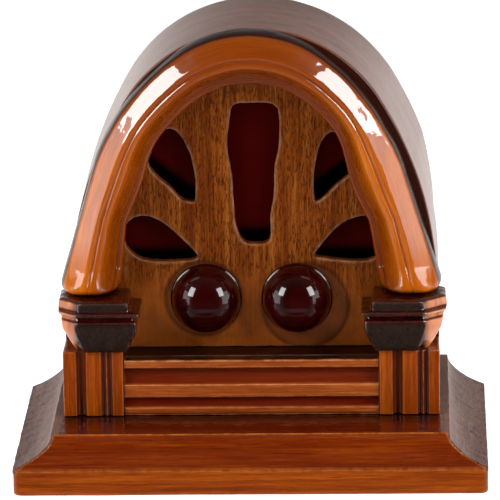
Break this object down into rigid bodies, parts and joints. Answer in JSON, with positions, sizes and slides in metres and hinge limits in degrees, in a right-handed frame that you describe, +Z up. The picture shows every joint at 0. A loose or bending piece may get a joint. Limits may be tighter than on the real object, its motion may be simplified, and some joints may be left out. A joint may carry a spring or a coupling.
{
  "type": "cathedral radio",
  "caption": "Small cathedral-style valve table radio: arched wooden cabinet with moulded arch, fretted grille, two domed knobs and a stepped plinth, with its chassis and loudspeaker inside.",
  "frame": {"origin": "middle of the plinth's underside, on the surface it stands on", "axes": "+Z up, -Y the front with the knobs, +X the viewer's right"},
  "size_m": [0.32, 0.212, 0.3017],
  "materials": {
    "wood_base": "amber lacquered hardwood",
    "wood_core": "dark red-brown lacquered hardwood",
    "wood_cove": "dark red-brown lacquer over coarse hardwood",
    "wood_cove_side": "worn grey-brown hardwood with saw marks",
    "wood_shell": "dark brown satin bent plywood",
    "wood_block": "raw softwood",
    "wood_pilaster": "orange-brown lacquered hardwood with dark flutes",
    "wood_reeded": "red-brown lacquered hardwood",
    "wood_ledge": "dark glossy hardwood",
    "wood_panel": "mid-brown veneer with vertical grain",
    "wood_trim": "amber hardwood under thick gloss lacquer",
    "wood_capital": "dark stained hardwood, worn",
    "wood_capital_cap": "dark red-brown lacquered hardwood",
    "board": "raw fibreboard",
    "cloth": "dark maroon woven silk and cotton",
    "basket_paint": "grey crackle paint",
    "cone_paper": "pressed dark paper pulp",
    "copper": "enamelled copper wire",
    "pot_iron": "black painted iron",
    "coil_paper": "varnished paper-wrapped winding",
    "laminations": "varnished iron laminations",
    "screw_steel": "zinc plated steel",
    "chassis_steel": "cadmium plated steel sheet",
    "plate_aluminium": "satin aluminium",
    "ceramic": "unglazed ceramic",
    "shaft_brass": "drawn brass",
    "knob_gloss": "very dark maroon, high gloss",
    "pot_case": "brown lacquered steel",
    "felt": "dark felt",
    "phenolic": "brown phenolic sheet",
    "valve_base": "brown-black moulded bakelite",
    "valve_glass": "clear glass with a silvered top",
    "valve_metal": "blackened nickel",
    "grommet": "black rubber"
  },
  "bodies": {
    "cabinet": {"base_board": "wood_base", "plinth_core": "wood_core", "plinth_cove_front": "wood_cove", "plinth_cove_left": "wood_cove_side", "plinth_cove_right": "wood_cove_side", "cabinet_shell": "wood_shell", "glue_blocks": "wood_block", "pilaster_left": "wood_pilaster", "pilaster_right": "wood_pilaster", "reeded_panel": "wood_reeded", "ledge_board": "wood_ledge", "grille_panel": "wood_panel", "arch_trim": "wood_trim", "capital_left": "wood_capital", "capital_right": "wood_capital", "capital_cap_left": "wood_capital_cap", "capital_cap_right": "wood_capital_cap", "grille_cloth": "cloth", "speaker_baffle": "board", "speaker_basket": "basket_paint", "field_pot": "pot_iron", "field_coil": "coil_paper", "output_transformer": "laminations", "speaker_screws": "screw_steel", "chassis_pan": "chassis_steel", "chassis_bolts": "screw_steel", "gang_frame": "chassis_steel", "stator_plates": "plate_aluminium", "stator_insulators": "ceramic", "volume_pot": "pot_case", "volume_bracket": "chassis_steel", "panel_bushings": "shaft_brass", "felt_washers": "felt", "valve_sockets": "phenolic", "valve_anodes": "valve_metal", "rf_valve_glass": "valve_glass", "rf_valve_base": "valve_base", "detector_valve_glass": "valve_glass", "detector_valve_base": "valve_base", "output_valve_glass": "valve_glass", "output_valve_base": "valve_base", "rectifier_valve_glass": "valve_glass", "rectifier_valve_base": "valve_base", "transformer_core": "laminations", "transformer_windings": "coil_paper", "filter_capacitors": "plate_aluminium", "coil_cans": "plate_aluminium", "aerial_earth_strip": "phenolic", "mains_grommet": "grommet"},
    "tuning_control": {"tuning_knob": "knob_gloss", "tuning_knob_screw": "screw_steel", "tuning_shaft": "shaft_brass", "rotor_plates": "plate_aluminium"},
    "volume_control": {"volume_knob": "knob_gloss", "volume_knob_screw": "screw_steel", "volume_shaft": "shaft_brass"},
    "cone_assembly": {"speaker_cone": "cone_paper", "voice_coil": "copper", "dust_cap": "cone_paper"}
  },
  "joints": [
    {"name": "tuning_turn", "type": "hinge", "parent": "cabinet", "child": "tuning_control", "pos_m": [0.031, 0, 0.114], "axis": [0, 1, 0], "range_deg": [0, 180]},
    {"name": "volume_turn", "type": "hinge", "parent": "cabinet", "child": "volume_control", "pos_m": [-0.031, 0, 0.114], "axis": [0, 1, 0], "range_deg": [0, 300]},
    {"name": "cone_stroke", "type": "slide", "parent": "cabinet", "child": "cone_assembly", "axis": [0, 1, 0], "range_m": [-0.0012, 0.0012], "stiffness_N_per_m": 1200}
  ]
}
